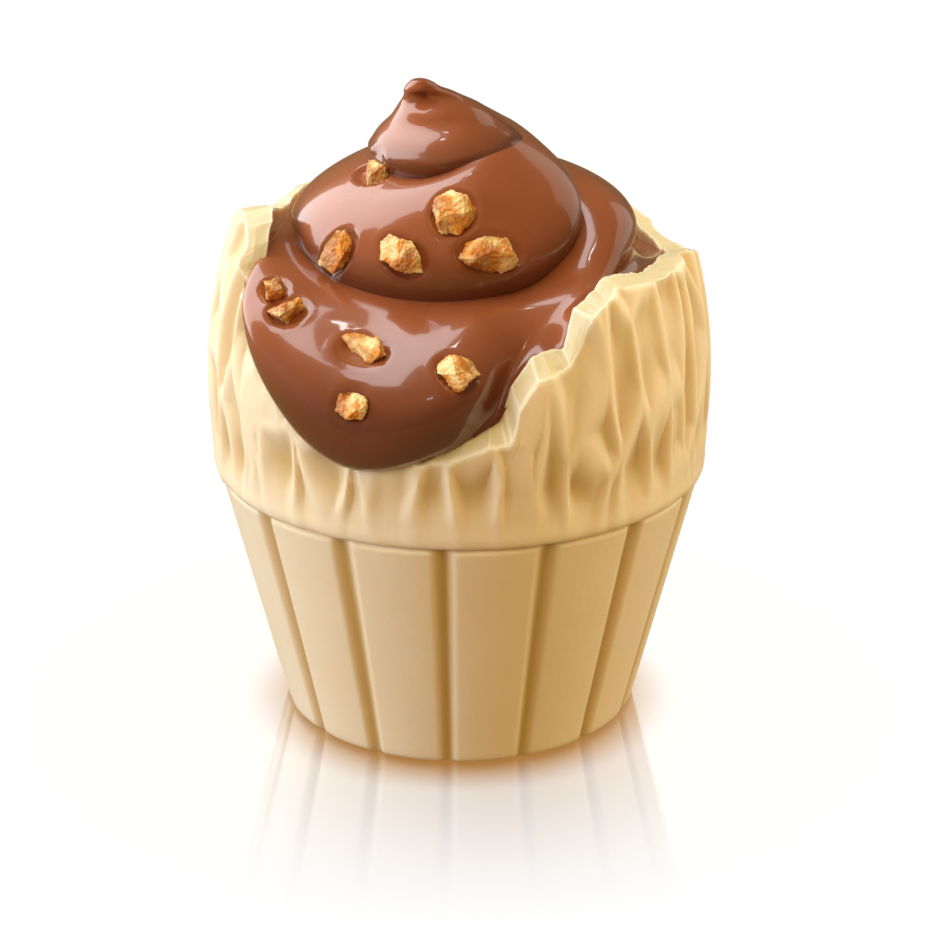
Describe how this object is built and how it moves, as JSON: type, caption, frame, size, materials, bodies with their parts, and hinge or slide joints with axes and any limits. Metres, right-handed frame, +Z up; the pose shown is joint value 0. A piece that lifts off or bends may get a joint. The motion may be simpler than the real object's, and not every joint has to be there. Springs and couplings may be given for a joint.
{
  "type": "filled white chocolate egg, broken open",
  "caption": "Fluted white chocolate shell with a broken open top, filled with nut cream that rises in a piped swirl and pours over the edge.",
  "frame": {"origin": "centre of the flat underside of the fluted cup", "axes": "+Z up along the egg's axis, -Y towards the side where the cream pours over the broken edge"},
  "size_m": [0.0348, 0.0357, 0.045],
  "materials": {
    "white_chocolate": "satin ivory chocolate, paler where broken",
    "nut_cream": "glossy milk chocolate cream",
    "brittle": "amber caramelised nut brittle, sugary"
  },
  "bodies": {
    "root": {"white_chocolate_shell": "white_chocolate", "nut_cream_filling": "nut_cream"}
  },
  "joints": []
}
